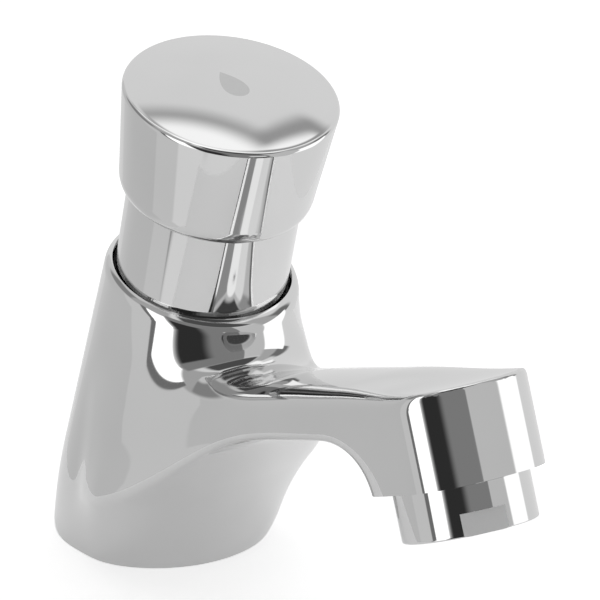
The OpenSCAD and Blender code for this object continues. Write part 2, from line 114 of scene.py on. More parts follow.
def smooth_join(a, b, k):
    """As soft_min, but its curvature has no jump, so that mirrored lines run through without a kink."""
    nearness = np.maximum(1 - np.abs(a - b) / (1.5 * k), 0)
    return np.minimum(a, b) - k / 4 * nearness ** 3


# The casting's surface: zero on it, below zero inside


def turned_coords(forward, z, angle):
    """Distances along and across an axis that leans forward from the vertical by an angle."""
    along = forward * math.sin(angle) + z * math.cos(angle)
    across = forward * math.cos(angle) - z * math.sin(angle)
    return along, across


def stem_side(x, forward, z):
    along, across = turned_coords(forward, z, HEAD_TILT)
    cone = np.hypot(x, across) - mix(STEM_RADIUS, RIM_RADIUS, along / RIM_HEIGHT)
    lip = np.hypot(x, np.minimum(forward, 0)) - FOOT_RADIUS
    foot = np.hypot(x, forward) - FOOT_RADIUS - FOOT_LIP - FOOT_SPREAD * z
    return np.maximum(soft_max(soft_max(cone, lip, LIP_ROUND), foot, FOOT_ROUND), along - RIM_HEIGHT - 7)


def square_norm(a, b):
    return (np.abs(a) ** NOSE_SQUARE + np.abs(b) ** NOSE_SQUARE) ** (1 / NOSE_SQUARE)


def spout_side(x, forward, z, nose_cut):
    along = forward * math.cos(SPOUT_RISE) + z * math.sin(SPOUT_RISE)
    height = z * math.cos(SPOUT_RISE) - forward * math.sin(SPOUT_RISE)
    rise, run = z - OUTLET_HEIGHT, forward - OUTLET_REACH
    up = rise * math.cos(OUTLET_TILT) - run * math.sin(OUTLET_TILT)
    ahead = run * math.cos(OUTLET_TILT) + rise * math.sin(OUTLET_TILT)
    # the top falls towards the root, lifts at the nose and is cambered across in between
    crown = NOSE_LIFT * np.maximum(along - 112, 0) ** 2 - ROOT_FALL * np.minimum(along - 85, 0) ** 2
    crown += CAMBER * ease(48, 72, along) * ease(130, 98, along) * (1 - (x / NOSE_HALF) ** 2)
    side = np.abs(x) - mix(WAIST_HALF, NOSE_HALF, ease(60, 105, along))
    boss = np.hypot(x, np.minimum(ahead, 0)) - BOSS_RADIUS
    low = soft_min(SPOUT_UNDER - height, boss, ARCH_ROUND)
    edge = mix(EDGE_AT_ROOT, EDGE_AT_NOSE, ease(84, 132, along))
    edges = soft_max(height - SPOUT_TOP - crown, side, edge)
    nose = square_norm(x, np.maximum(ahead, 0)) - NOSE_RADIUS
    slab = soft_max(soft_max(edges, low, UNDER_ROUND), nose, NOSE_ROUND)
    if nose_cut:
        slab = np.maximum(slab, -up)
    return soft_max(slab, SPOUT_ROOT - forward, ROOT_ROUND)


def casting_side(x, forward, z, nose_cut=True):
    height = z * math.cos(SPOUT_RISE) - forward * math.sin(SPOUT_RISE)
    along, across = turned_coords(forward, z, HEAD_TILT)
    soft = mix(JOIN_ABOVE, JOIN_BELOW, ease(28, 10, height) * ease(-8, 20, across))
    # the join fades out round the back of the stem
    soft *= mix(JOIN_BEHIND, 1, ease(-12, 12, across))
    side = smooth_join(stem_side(x, forward, z), spout_side(x, forward, z, nose_cut), soft)
    on_head = np.hypot(x, across) < 24
    return np.where(on_head, soft_max(side, along - RIM_HEIGHT, RIM_ROUND), side)


def skin_side(points):
    """Side of points in mm, in the object's frame, without the flat cut under the nose."""
    return casting_side(points[:, 0], -points[:, 1], points[:, 2], nose_cut=False)


def skin_slopes(points, step=0.02):
    """Slopes of the casting's side at points in mm, in the object's frame; they point outwards."""
    sides = [skin_side(points + axis) - skin_side(points - axis) for axis in np.eye(3) * step]
    return np.stack(sides, 1) / (2 * step)


WAY_HEIGHT = (SPOUT_TOP + SPOUT_UNDER) / 2
GRID = 0.56


def mesh_object(name, points, faces):
    """New object from points in metres and faces."""
    mesh = bpy.data.meshes.new(name)
    mesh.from_pydata([tuple(p) for p in points], [], faces)
    mesh.update()
    piece = bpy.data.objects.new(name, mesh)
    bpy.context.scene.collection.objects.link(piece)
    return piece


def casting_skin():
    """Closed outer skin of the casting, a little beyond its flat faces: one point for each cell of a grid
    that the surface passes through, moved onto the surface."""
    ranges = ((-27.0, 27.0), (-24.0, 126.5), (-3.0, 76.5))
    lines = [np.arange(low, high + GRID, GRID) for low, high in ranges]
    x, forward, z = np.meshgrid(*lines, indexing="ij")
    up = (z - OUTLET_HEIGHT) * math.cos(OUTLET_TILT) - (forward - OUTLET_REACH) * math.sin(OUTLET_TILT)
    ends = np.maximum(-2 - z, np.where(forward > 72, -2 - up, -99))
    side = np.maximum(casting_side(x, forward, z, nose_cut=False), ends)
    inside = side < 0
    size = np.array(side.shape) - 1
    total, count = np.zeros((*size, 3)), np.zeros(size)
    for axis in range(3):
        others = [a for a in range(3) if a != axis]
        values = np.moveaxis(side, axis, 0)
        crossed = (values[1:] < 0) != (values[:-1] < 0)
        share = np.where(crossed, values[:-1] / np.where(crossed, values[:-1] - values[1:], 1), 0)
        share, crossed = np.moveaxis(share, 0, axis), np.moveaxis(crossed, 0, axis)
        for j in (0, 1):
            for k in (0, 1):
                part = [slice(None)] * 3
                part[others[0]] = slice(j, j + size[others[0]])
                part[others[1]] = slice(k, k + size[others[1]])
                hit = crossed[tuple(part)]
                count += hit
                total[..., axis] += np.where(hit, share[tuple(part)], 0)
                total[..., others[0]] += hit * j
                total[..., others[1]] += hit * k
    cells = count > 0
    number = np.full(size, -1)
    number[cells] = np.arange(cells.sum())
    points = (np.argwhere(cells) + total[cells] / count[cells][:, None]) * GRID + [low for low, _ in ranges]
    points[:, 1] *= -1
    faces = []
    for axis in range(3):
        ids, signs = np.moveaxis(number, axis, 0), np.moveaxis(inside, axis, 0)
        i, j, k = np.nonzero(signs[1:, 1:-1, 1:-1] != signs[:-1, 1:-1, 1:-1])
        corners = [ids[i, j, k], ids[i, j + 1, k], ids[i, j + 1, k + 1], ids[i, j, k + 1]]
        faces += np.stack(corners, 1).tolist()
    for _ in range(4):
        gap = skin_side(points)
        slopes = skin_slopes(points)
        steepness = np.linalg.norm(slopes, axis=1)
        move = np.where(np.abs(gap) < 0.6, gap / np.maximum(steepness, 0.3) ** 2, 0)
        points -= slopes * move[:, None]
    skin = mesh_object("casting", points * MM, faces)
    finish_mesh(skin.data, 180)
    return skin


def drum(radius, low, high, place=None, sides=128, top_radius=None):
    """Plain cylinder or cone used as a cutter, in mm."""
    points, faces = [], []
    for k in range(sides):
        turn = 2 * math.pi * k / sides
        for r, z in ((radius, low), (top_radius or radius, high)):
            points.append(Vector((r * math.cos(turn), r * math.sin(turn), z)) * MM)
        a, b = 2 * k, 2 * ((k + 1) % sides)
        faces.append((a, b, b + 1, a + 1))
    faces.append([2 * k for k in reversed(range(sides))])
    faces.append([2 * k + 1 for k in range(sides)])
    cutter = mesh_object("cutter", points, faces)
    if place:
        cutter.data.transform(place)
    return cutter


def block(low, high, place=None):
    """Plain box used as a cutter, in mm."""
    corners = [(x, y, z) for x in (low[0], high[0]) for y in (low[1], high[1]) for z in (low[2], high[2])]
    faces = [(0, 1, 3, 2), (4, 6, 7, 5), (0, 4, 5, 1), (2, 3, 7, 6), (0, 2, 6, 4), (1, 5, 7, 3)]
    cutter = mesh_object("cutter", [Vector(c) * MM for c in corners], faces)
    if place:
        cutter.data.transform(place)
    return cutter


def drilling(start, end, radius):
    """Cutter for a straight hole in the middle plane; start and end are (forward, z)."""
    run, rise = end[0] - start[0], end[1] - start[1]
    lean = Matrix.Rotation(math.atan2(run, rise), 4, "X")
    place = Matrix.Translation((0, -start[0] * MM, start[1] * MM)) @ lean
    return drum(radius, 0, math.hypot(run, rise), place, 48)


def cut(piece, cutters):
    """Takes the cutters out of a piece and removes them."""
    for cutter in cutters:
        tool = piece.modifiers.new("cut", "BOOLEAN")
        tool.operation = "DIFFERENCE"
        tool.solver = "MANIFOLD"
        tool.object = cutter
    bake(piece)
    for cutter in cutters:
        bpy.data.objects.remove(cutter)


def bake(piece):
    """Turns a piece with modifiers into a plain mesh."""
    graph = bpy.context.evaluated_depsgraph_get()
    mesh = bpy.data.meshes.new_from_object(piece.evaluated_get(graph))
    piece.modifiers.clear()
    piece.data = mesh


def way_at(forward):
    """Point (forward, z) on the middle line of the water way in the spout."""
    return forward, (WAY_HEIGHT + forward * math.sin(SPOUT_RISE)) / math.cos(SPOUT_RISE)


def make_casting():
    """The cast body: its skin, cut flat at deck and outlet, with the bores and water ways inside."""
    casting = casting_skin()
    # the riser is drilled from the valve chamber and runs just into the spout's way
    start, meet = (10, 17), way_at(56)
    length = math.dist(start, meet)
    past = [m + 1.5 * (m - s) / length for s, m in zip(start, meet)]
    cut(casting, [
        block((-30, -30, -9), (30, 30, 0)),
        block((-20, -26, -9), (20, 36, 0), OUTLET),
        drum(OPENING_RADIUS, FLOOR_HEIGHT, RIM_HEIGHT - RIM_LIP, HEAD),
        drum(RIM_BORE, FLOOR_HEIGHT, RIM_HEIGHT + 8, HEAD),
        drum(RIM_BORE, RIM_HEIGHT - 1, RIM_HEIGHT + 1, HEAD, top_radius=RIM_BORE + 1),
        *[drum(radius, FLOOR_HEIGHT + low, FLOOR_HEIGHT + high, HEAD) for radius, low, high in HEAD_BORES],
        drum(INLET_BORE, 3, FLOOR_HEIGHT - 21.5, HEAD),
        drum(TAIL_BORE, -1, 6.5),
        drilling(start, past, RISER_RADIUS),
        drilling(way_at(53), way_at(OUTLET_REACH - 3), WAY_RADIUS),
        drum(OUTLET_BORE, -1, 10.5, OUTLET),
    ])
    groove = drum(GASKET_OUTER, -1, GASKET_DEPTH)
    cut(groove, [drum(GASKET_INNER, -2, GASKET_DEPTH + 1)])
    cut(casting, [groove])
    smooth_casting(casting.data)
    return casting


def smooth_casting(mesh):
    """Gives the skin the exact directions of its surface, so that the polished chrome mirrors cleanly."""
    for polygon in mesh.polygons:
        polygon.use_smooth = True
    points = np.empty(len(mesh.vertices) * 3)
    mesh.vertices.foreach_get("co", points)
    points = points.reshape(-1, 3) / MM
    corners = np.empty(len(mesh.loops), int)
    mesh.loops.foreach_get("vertex_index", corners)
    sizes = np.empty(len(mesh.polygons), int)
    mesh.polygons.foreach_get("loop_total", sizes)
    flats = np.empty(len(mesh.polygons) * 3)
    mesh.polygons.foreach_get("normal", flats)
    flats = np.repeat(flats.reshape(-1, 3), sizes, axis=0)
    skin = skin_slopes(points)
    skin = (skin / np.linalg.norm(skin, axis=1, keepdims=True))[corners]
    on_skin = (np.abs(skin_side(points))[corners] < 0.05) & ((skin * flats).sum(1) > 0.5)
    mesh.normals_split_custom_set(np.where(on_skin[:, None], skin, flats))
    # inside faces are bare machined brass
    middles = np.array([polygon.center for polygon in mesh.polygons]) / MM
    deep = skin_side(middles) < -1.2
    for polygon, inside in zip(mesh.polygons, deep):
        polygon.material_index = int(inside)


def add(tree, kind, inputs=None, **settings):
    """Adds a node. settings are its properties; inputs are constants or the sockets that feed it."""
    node = tree.nodes.new(kind)
    for key, value in settings.items():
        setattr(node, key, value)
    for key, value in (inputs or {}).items():
        if isinstance(value, bpy.types.NodeSocket):
            tree.links.new(value, node.inputs[key])
        else:
            node.inputs[key].default_value = value
    return node


def calc(tree, operation, *values):
    """Adds a maths node and gives its result."""
    return add(tree, "ShaderNodeMath", dict(enumerate(values)), operation=operation).outputs[0]


# Turned pieces: a profile of (radius, height) swept round the axis


def turning_tree():
    tree = bpy.data.node_groups.new("turned piece", "GeometryNodeTree")
    sockets = tree.interface
    sockets.new_socket("Profile", in_out="INPUT", socket_type="NodeSocketGeometry")
    sockets.new_socket("Segments", in_out="INPUT", socket_type="NodeSocketInt")
    sockets.new_socket("Thread Pitch", in_out="INPUT", socket_type="NodeSocketFloat")
    sockets.new_socket("Thread Depth", in_out="INPUT", socket_type="NodeSocketFloat")
    sockets.new_socket("Material", in_out="INPUT", socket_type="NodeSocketMaterial")
    sockets.new_socket("Piece", in_out="OUTPUT", socket_type="NodeSocketGeometry")
    given = add(tree, "NodeGroupInput").outputs
    size = add(tree, "GeometryNodeAttributeDomainSize", {0: given["Profile"]}).outputs["Point Count"]
    columns = calc(tree, "ADD", given["Segments"], 1.0)
    grid = add(tree, "GeometryNodeMeshGrid", {"Vertices X": columns, "Vertices Y": size}).outputs["Mesh"]
    index = add(tree, "GeometryNodeInputIndex").outputs[0]
    ratio = calc(tree, "DIVIDE", index, size)
    column = calc(tree, "FLOOR", ratio)
    row = calc(tree, "MODULO", index, size)
    place = add(tree, "GeometryNodeInputPosition").outputs[0]
    point = add(tree, "GeometryNodeSampleIndex", {"Geometry": given["Profile"], "Value": place, "Index": row},
                data_type="FLOAT_VECTOR").outputs[0]
    mark = add(tree, "GeometryNodeInputNamedAttribute", {"Name": "thread"}, data_type="FLOAT").outputs[0]
    cut_here = add(tree, "GeometryNodeSampleIndex", {
        "Geometry": given["Profile"], "Value": mark, "Index": row}, data_type="FLOAT").outputs[0]
    parts = add(tree, "ShaderNodeSeparateXYZ", {0: point}).outputs
    turns = calc(tree, "DIVIDE", column, given["Segments"])
    angle = calc(tree, "MULTIPLY", turns, 2 * math.pi)
    # thread: a triangle wave that climbs one pitch in a turn
    climb = calc(tree, "DIVIDE", parts["Z"], given["Thread Pitch"])
    phase = calc(tree, "SUBTRACT", climb, turns)
    wave = calc(tree, "PINGPONG", phase, 0.5)
    depth = calc(tree, "MULTIPLY", given["Thread Depth"], cut_here)
    sunk = calc(tree, "MULTIPLY", wave, -2.0)
    radius = calc(tree, "MULTIPLY_ADD", sunk, depth, parts["X"])
    cosine = calc(tree, "COSINE", angle)
    sine = calc(tree, "SINE", angle)
    x = calc(tree, "MULTIPLY", radius, cosine)
    y = calc(tree, "MULTIPLY", radius, sine)
    spot = add(tree, "ShaderNodeCombineXYZ", {0: x, 1: y, 2: parts["Z"]}).outputs[0]
    swept = add(tree, "GeometryNodeSetPosition", {"Geometry": grid, "Position": spot}).outputs[0]
    joined = add(tree, "GeometryNodeMergeByDistance", {"Geometry": swept, "Distance": 1e-7}).outputs[0]
    real = add(tree, "GeometryNodeRealizeInstances", {"Geometry": joined}).outputs[0]
    painted = add(tree, "GeometryNodeSetMaterial", {
        "Geometry": real, "Material": given["Material"]}).outputs[0]
    add(tree, "NodeGroupOutput", {0: painted})
    return tree


def apply_tree(piece, tree, **values):
    """Runs a node tree on a piece and keeps the result as its mesh. values are the tree's named inputs."""
    tool = piece.modifiers.new("tree", "NODES")
    tool.node_group = tree
    for item in tree.interface.items_tree:
        if item.in_out == "INPUT" and item.name in values:
            tool[item.identifier] = values[item.name]
    bake(piece)


def turn_piece(name, profile, material, place, segments=192, pitch=1.0, depth=0.0, threads=(), crease=28):
    """A turned piece from a profile in mm that starts and ends on the axis, or closes on itself."""
    piece = bpy.data.objects.new(name, bpy.data.meshes.new(name))
    bpy.context.scene.collection.objects.link(piece)
    piece.data.from_pydata([(r * MM, 0, s * MM) for r, s in profile], [], [])
    mark = piece.data.attributes.new("thread", "FLOAT", "POINT")
    for point, (r, s) in zip(mark.data, profile):
        point.value = max([0] + [min(1, s - low, high - s) for low, high, inner in threads if r > inner])
    apply_tree(piece, TURNING, **{
        "Segments": segments, "Thread Pitch": pitch * MM, "Thread Depth": depth * MM, "Material": material})
    piece.data.transform(place)
    finish_mesh(piece.data, crease)
    return piece


def finish_mesh(mesh, crease):
    """Normals outwards, smooth but for edges sharper than an angle."""
    shape = bmesh.new()
    shape.from_mesh(mesh)
    bmesh.ops.recalc_face_normals(shape, faces=shape.faces)
    shape.to_mesh(mesh)
    shape.free()
    for polygon in mesh.polygons:
        polygon.use_smooth = True
    mesh.set_sharp_from_angle(angle=math.radians(crease))


def arc(middle, radius, start, end, steps=10):
    """Points on a quarter or other arc of a profile; angles in degrees from outward."""
    turns = np.radians(np.linspace(start, end, steps + 1))
    return [(middle[0] + radius * math.cos(t), middle[1] + radius * math.sin(t)) for t in turns]


def button_profile():
    """Flared cap with a rounded lower edge over a narrower skirt."""
    low, top, inside = RIM_HEIGHT + 17.75, RIM_HEIGHT + 41, RIM_HEIGHT + 37.5
    skirt_low, skirt_inner = FLOOR_HEIGHT + 7, SKIRT_RADIUS - SKIRT_WALL
    turns = np.radians(np.linspace(0, 90, 19))
    lower = [(mix(SKIRT_RADIUS, CAP_LOW_RADIUS, math.sin(t)), low + CAP_CURVE * (1 - math.cos(t)))
             for t in turns]
    middle = (CAP_RADIUS - CAP_ROUND, top - CAP_ROUND)
    upper = arc(middle, CAP_ROUND, 0, 79, 20)
    dome = [(middle[0] * t, top + CAP_DOME * (1 - t * t)) for t in np.linspace(1, 0, 40)]
    inner = [(0, inside), (skirt_inner, inside), (skirt_inner, skirt_low)]
    skirt = [(SKIRT_RADIUS - 0.5, skirt_low), (SKIRT_RADIUS, skirt_low + 0.5)]
    return inner + skirt + lower + upper + dome


def housing_profile():
    """Outlet housing: a plain collar with small rounded edges, and a neck screwed into the nose."""
    collar = [(9.8, -8.4), (9.8, -9.3), (10.1, -9.6)] + arc((12.55, -9.15), 0.45, -90, 0, 24)
    collar += arc((12.65, -0.35), 0.35, 0, 90, 24)
    neck = [(12.0, s) for s in np.linspace(0, 7.6, 77)]
    return collar + neck + [(11.6, 8), (10.5, 8), (10.5, -8.4), (9.8, -8.4)]


def make_housing():
    housing = turn_piece("screwed_outlet", housing_profile(), CHROME, OUTLET,
                         segments=240, pitch=1.0, depth=0.55, threads=[(0.6, 8.4, 11.7)])
    flats = []
    for turn in (0, 180):
        place = OUTLET @ Matrix.Rotation(math.radians(turn - 19), 4, "Z")
        flats.append(block((-13, -25.25, -10.6), (13, -12.25, -5.2), place))
    cut(housing, flats)
    finish_mesh(housing.data, 6)
    return housing


def tail_profile():
    """Half inch pipe tail: threaded in two runs with a plain groove between, chamfered at the ends."""
    upper = [(10.4775, s) for s in np.linspace(4.4, -24, 190)]
    lower = [(10.4775, s) for s in np.linspace(-26, -47, 140)]
    outer = [(9.9, 5)] + upper + [(9.5775, -24), (9.5775, -26)] + lower
    return [(6.75, 5)] + outer + [(9.5, -48), (7.3, -48), (6.75, -47.4), (6.75, 5)]


def make_backnut():
    """Hexagon nut: turned with chamfered faces, then six flats cut."""
    low, high = -21.0, -14.0
    bore, corner, slope = 10.5275, 17.3205, 1.15
    profile = [(bore, low + 0.6), (bore + 0.6, low), (15, low), (corner, low + slope), (corner, high - slope),
               (15, high), (bore + 0.6, high), (bore, high - 0.6), (bore, low + 0.6)]
    nut = turn_piece("hexagon_backnut", profile, BRASS, Matrix(), 240)
    turns = [Matrix.Rotation(math.radians(30 + 60 * k), 4, "Z") for k in range(6)]
    cut(nut, [block((15, -20, low - 1), (24, 20, high + 1), turn) for turn in turns])
    finish_mesh(nut.data, 20)
    return nut


def washer_profile():
    low, high, inner, outer = -14.0, -12.5, 10.7775, 17.0
    edge = arc((outer - 0.3, low + 0.3), 0.3, -90, 0, 5) + arc((outer - 0.3, high - 0.3), 0.3, 0, 90, 5)
    return [(inner, low)] + edge + [(inner, high), (inner, low)]


def spring_tree():
    tree = bpy.data.node_groups.new("coil spring", "GeometryNodeTree")
    sockets = tree.interface
    sockets.new_socket("Geometry", in_out="INPUT", socket_type="NodeSocketGeometry")
    for name in ("Turns", "Mean Radius", "Wire Radius", "Height"):
        sockets.new_socket(name, in_out="INPUT", socket_type="NodeSocketFloat")
    sockets.new_socket("Material", in_out="INPUT", socket_type="NodeSocketMaterial")
    sockets.new_socket("Spring", in_out="OUTPUT", socket_type="NodeSocketGeometry")
    given = add(tree, "NodeGroupInput").outputs
    coil = add(tree, "GeometryNodeCurveSpiral", {
        "Resolution": 60, "Rotations": given["Turns"], "Start Radius": given["Mean Radius"],
        "End Radius": given["Mean Radius"], "Height": given["Height"]}).outputs[0]
    wire = add(tree, "GeometryNodeCurvePrimitiveCircle", {
        "Resolution": 16, "Radius": given["Wire Radius"]}).outputs[0]
    tube = add(tree, "GeometryNodeCurveToMesh", {
        "Curve": coil, "Profile Curve": wire, "Fill Caps": True}).outputs[0]
    real = add(tree, "GeometryNodeRealizeInstances", {"Geometry": tube}).outputs[0]
    painted = add(tree, "GeometryNodeSetMaterial", {
        "Geometry": real, "Material": given["Material"]}).outputs[0]
    add(tree, "NodeGroupOutput", {0: painted})
    return tree


def make_spring():
    """Return spring of round steel wire between the cartridge head and the cup under the button hub."""
    low, high, wire = SPRING_LOW, SPRING_HIGH, 0.8
    spring = mesh_object("coil_spring", [(0, 0, 0)], [])
    apply_tree(spring, spring_tree(), **{"Turns": 7.0, "Mean Radius": 9.5 * MM, "Wire Radius": wire * MM,
                                         "Height": (high - low - 2 * wire) * MM, "Material": STEEL})
    spring.data.transform(HEAD @ Matrix.Translation((0, 0, (low + wire) * MM)))
    finish_mesh(spring.data, 40)
    return spring


# Materials


def colour(code):
    """Linear colour from an sRGB hex value."""
    parts = [int(code[i:i + 2], 16) / 255 for i in (1, 3, 5)]
    return [p / 12.92 if p <= 0.04045 else ((p + 0.055) / 1.055) ** 2.4 for p in parts] + [1.0]


def new_material(name):
    material = bpy.data.materials.new(name)
    material.use_nodes = True
    tree = material.node_tree
    tree.nodes.clear()
    shader = add(tree, "ShaderNodeBsdfPrincipled")
    add(tree, "ShaderNodeOutputMaterial", {"Surface": shader.outputs[0]})
    return material, tree, shader


def noise(tree, place, size, detail=2.0, stretch=(1, 1, 1)):
    """Soft random pattern whose patches are about size mm wide."""
    scaled = add(tree, "ShaderNodeMapping", {"Vector": place, "Scale": stretch}).outputs[0]
    return add(tree, "ShaderNodeTexNoise", {
        "Vector": scaled, "Scale": 1 / (size * MM), "Detail": detail}).outputs[0]


def span(tree, value, low, high, start=0.3, end=0.7):
    """Stretches a pattern's usual range to a new one."""
    return add(tree, "ShaderNodeMapRange", {"Value": value, "From Min": start, "From Max": end,
                                            "To Min": low, "To Max": high}).outputs[0]


def blend(tree, factor, first, second):
    """Mixes two colours."""
    node = add(tree, "ShaderNodeMix", {0: factor}, data_type="RGBA")
    for socket, value in ((node.inputs[6], first), (node.inputs[7], second)):
        if isinstance(value, bpy.types.NodeSocket):
            tree.links.new(value, socket)
        else:
            socket.default_value = value
    return node.outputs[2]


def relief(tree, shader, height, depth):
    """Fine relief, depth in mm."""
    bump = add(tree, "ShaderNodeBump", {"Height": height, "Distance": depth * MM, "Strength": 1.0}).outputs[0]
    tree.links.new(bump, shader.inputs["Normal"])


def polished_chrome(name, marked=False):
    """Bright chromium plate on polished brass: a near mirror with a faint haze left by the buffing wheel.
    The button's top can carry a plain water drop, etched to a fine satin."""
    material, tree, shader = new_material(name)
    shader.inputs["Metallic"].default_value = 1.0
    place = add(tree, "ShaderNodeTexCoord").outputs["Object"]
    haze = noise(tree, place, 12, 3.0)
    rough = span(tree, haze, 0.03, 0.06)
    tint = blend(tree, span(tree, noise(tree, place, 30), 0, 1), colour("#d6d6d6"), colour("#dbdbdb"))
    if marked:
        parts = add(tree, "ShaderNodeSeparateXYZ", {0: place}).outputs
        level_rear = calc(tree, "MULTIPLY", parts["Y"], math.cos(HEAD_TILT))
        rear = calc(tree, "MULTIPLY_ADD", parts["Z"], math.sin(HEAD_TILT), level_rear)
        # share of the way from the drop's round end to its tip
        share = span(tree, rear, 0.0, 1.0, DROP_FRONT * MM, DROP_TIP * MM)
        half = calc(tree, "MULTIPLY", calc(tree, "SQRT", share), calc(tree, "SUBTRACT", 1.0, share))
        half = calc(tree, "MULTIPLY", half, DROP_PEAK * DROP_HALF * MM)
        edge = calc(tree, "SUBTRACT", half, calc(tree, "ABSOLUTE", parts["X"]))
        drop = span(tree, edge, 0.0, 1.0, 0.0, 0.08 * MM)
        grain = noise(tree, place, 0.15)
        rough = calc(tree, "MULTIPLY_ADD", drop, span(tree, grain, 0.14, 0.22), rough)
        tint = blend(tree, drop, tint, colour("#c6c6c6"))
    tree.links.new(tint, shader.inputs["Base Color"])
    tree.links.new(rough, shader.inputs["Roughness"])
    return material


def turned_metal(name, bright, dull, lean, finest, coarsest):
    """Metal from the lathe: fine rings round the axis, in two tones, with a little handling haze.
    lean is the axis's lean forward."""
    material, tree, shader = new_material(name)
    shader.inputs["Metallic"].default_value = 1.0
    place = add(tree, "ShaderNodeTexCoord").outputs["Object"]
    upright = add(tree, "ShaderNodeVectorRotate", {"Vector": place, "Angle": -lean},
                  rotation_type="X_AXIS").outputs[0]
    rings = noise(tree, upright, 0.25, 1.0, (0.02, 0.02, 1.0))
    patches = noise(tree, place, 5, 4.0)
    tint = blend(tree, span(tree, patches, 0, 1), colour(bright), colour(dull))
    tree.links.new(tint, shader.inputs["Base Color"])
    rough = calc(tree, "MULTIPLY", span(tree, rings, finest, coarsest), span(tree, patches, 0.85, 1.2))
    tree.links.new(rough, shader.inputs["Roughness"])
    relief(tree, shader, rings, 0.02)
    return material


def moulded(name, first, second, patch, grain, depth, finest, coarsest, stretch=(1, 1, 1)):
    """Moulded or pressed stuff: two near tones in patches, and a fine grain that dulls the surface."""
    material, tree, shader = new_material(name)
    place = add(tree, "ShaderNodeTexCoord").outputs["Object"]
    patches = noise(tree, place, patch, 4.0, stretch)
    fine = noise(tree, place, grain, 2.0)
    tint = blend(tree, span(tree, patches, 0, 1), colour(first), colour(second))
    tree.links.new(tint, shader.inputs["Base Color"])
    tree.links.new(span(tree, fine, finest, coarsest), shader.inputs["Roughness"])
    relief(tree, shader, fine, depth)
    return material


# Studio: a light tent round the tap, two softboxes, and the dark room on the camera's side.
# Each row: azimuth from and to (0 is forward, 90 is +X), elevation from and to, the four soft edges, level.
STUDIO_BASE = 0.87
STUDIO = [
    (-200, -96, -95, 95, (2, 3, 2, 2), 0.72),
    (-172, -121.5, -45, 20, (44, 2, 8, 8), 0.64),
    (136, 200, -30, 2, (8, 2, 8, 8), 0.77),
    (-160, -106, 24, 60, (14, 10, 12, 10), 0.29),
    (-108, -58, 22, 84, (8, 8, 8, 4), 0.48),
    (-66, 12, -44, 42, (6, 3, 4, 6), 0.26),
    (-45, 40, 42, 74, (10, 10, 6, 8), 0.09),
    (-63, -31, -44, 18, (5, 14, 4, 5), 0.035),
    (12, 48, -95, 39, (3, 8, 2, 6), 0.66),
    (42, 74, 19, 60, (8, 8, 3, 10), 0.5),
    (66, 86, 11, 42, (6, 8, 3, 10), 0.2),
    (-97, -89, -34, 30, (2, 2, 2, 2), 0.2),
    (-90, -67.5, -32, 30, (1.5, 2, 2, 8), 1.7),
    (43, 77, -33, 19, (3, 3, 3, 2), 1.5),
    (-8, 8, -10, 10, (3, 3, 3, 3), 0.9),
    (104, 176, 56, 66, (5, 24, 5, 2), 0.47),
    (112, 121, 45, 60, (3, 5, 4, 2), 0.4),
    (56, 190, 60, 95, (12, 8, 5, 2), 1.3),
    (96, 115.5, 48, 95, (10, 4, 3, 2), 1.3),
    (-200, 200, 80, 95, (2, 2, 3, 2), 1.6),
]


def make_world():
    world = bpy.data.worlds.new("studio")
    bpy.context.scene.world = world
    world.use_nodes = True
    tree = world.node_tree
    tree.nodes.clear()
    way = add(tree, "ShaderNodeTexCoord").outputs["Generated"]
    parts = add(tree, "ShaderNodeSeparateXYZ", {0: way}).outputs
    forward = calc(tree, "MULTIPLY", parts["Y"], -1.0)
    azimuth = calc(tree, "ARCTAN2", parts["X"], forward)
    elevation = calc(tree, "ARCSINE", parts["Z"])
    level = STUDIO_BASE
    for left, right, low, high, softs, value in STUDIO:
        mask = 1.0
        edges = ((azimuth, left, 1), (azimuth, right, -1), (elevation, low, 1), (elevation, high, -1))
        for (angle, edge, sign), soft in zip(edges, softs):
            inside, outside = math.radians(edge + sign * soft / 2), math.radians(edge - sign * soft / 2)
            side = add(tree, "ShaderNodeMapRange", {"Value": angle, "From Min": outside, "From Max": inside},
                       interpolation_type="SMOOTHSTEP").outputs[0]
            mask = calc(tree, "MULTIPLY", mask, side)
        level = add(tree, "ShaderNodeMix", {"Factor": mask, "A": level, "B": value}).outputs["Result"]
    # the camera sees plain white behind the tap
    camera_ray = add(tree, "ShaderNodeLightPath").outputs["Is Camera Ray"]
    seen = add(tree, "ShaderNodeMix", {"Factor": camera_ray, "A": level, "B": 1.0}).outputs["Result"]
    light = add(tree, "ShaderNodeBackground", {"Color": (1, 1, 1, 1), "Strength": seen}).outputs[0]
    add(tree, "ShaderNodeOutputWorld", {"Surface": light})


